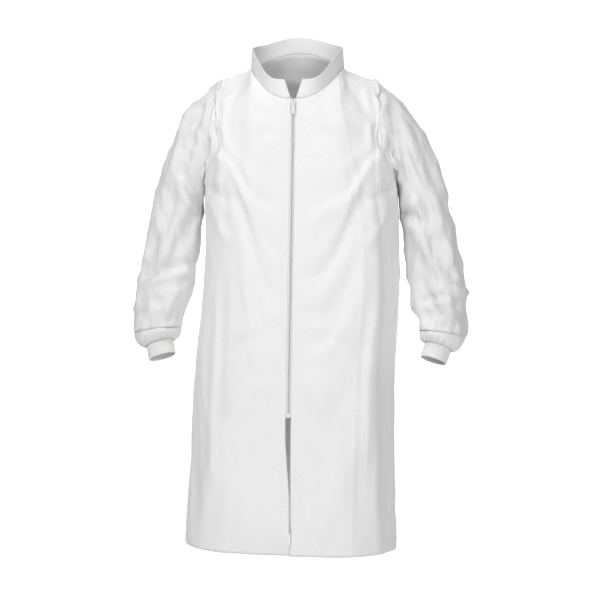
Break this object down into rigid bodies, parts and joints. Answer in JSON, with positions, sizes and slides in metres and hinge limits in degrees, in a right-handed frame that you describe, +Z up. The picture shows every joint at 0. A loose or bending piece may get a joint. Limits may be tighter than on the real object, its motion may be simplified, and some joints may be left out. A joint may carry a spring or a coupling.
{
  "type": "lab coat",
  "caption": "Knee-length white nonwoven lab coat with a stand collar, long sleeves on knit cuffs and a front coil zip that ends above the hem.",
  "frame": {"origin": "the nape: the height of the neck seam at centre back, midway between the neck's two sides and just behind the shoulder line's own middle, where a wearer's neck or a hanger's hook stands", "axes": "+Z up, along the coat's length; the front and the zip face -Y; +X is the wearer's left"},
  "size_m": [0.6938, 0.322, 1.0684],
  "materials": {
    "nonwoven": "matte",
    "rib_knit": "matte",
    "zip_tape": "matte",
    "nylon": "satin",
    "lacquered_metal": "gloss"
  },
  "bodies": {
    "coat_body": {"back_panel": "nonwoven", "left_front_panel": "nonwoven", "right_front_panel": "nonwoven", "collar_outer": "nonwoven", "collar_inner": "nonwoven", "left_zip_tape": "zip_tape", "right_zip_tape": "zip_tape", "left_zip_coil": "nylon", "right_zip_coil": "nylon", "left_top_stop": "nylon", "right_top_stop": "nylon", "insertion_pin": "nylon", "retainer_box": "nylon"},
    "left_arm": {"left_sleeve": "nonwoven", "left_cuff_band": "nonwoven", "left_knit_cuff": "rib_knit"},
    "right_arm": {"right_sleeve": "nonwoven", "right_cuff_band": "nonwoven", "right_knit_cuff": "rib_knit"},
    "left_corner": {"left_front_corner": "nonwoven"},
    "right_corner": {"right_front_corner": "nonwoven"},
    "slider": {"zip_slider": "lacquered_metal"},
    "tab": {"pull_tab": "lacquered_metal"}
  },
  "joints": [
    {"name": "left_sleeve_swing", "type": "hinge", "parent": "coat_body", "child": "left_arm", "pos_m": [0.158, 0.005, -0.066], "axis": [0, -1, 0], "range_deg": [0, 30]},
    {"name": "right_sleeve_swing", "type": "hinge", "parent": "coat_body", "child": "right_arm", "pos_m": [-0.158, 0.005, -0.066], "axis": [0, 1, 0], "range_deg": [0, 30]},
    {"name": "left_corner_fold", "type": "hinge", "parent": "coat_body", "child": "left_corner", "pos_m": [0, -0.15859, -0.7646], "axis": [-0.4397, 0.0318, 0.8976], "range_deg": [0, 70]},
    {"name": "right_corner_fold", "type": "hinge", "parent": "coat_body", "child": "right_corner", "pos_m": [0, -0.15859, -0.7646], "axis": [-0.4397, -0.0318, -0.8976], "range_deg": [0, 70]},
    {"name": "zip_slide", "type": "slide", "parent": "coat_body", "child": "slider", "axis": [0, -0.0659, -0.9978], "range_m": [0, 0.616]},
    {"name": "tab_swing", "type": "hinge", "parent": "slider", "child": "tab", "pos_m": [0, -0.11583, -0.13137], "axis": [-1, 0, 0], "range_deg": [0, 160]}
  ]
}
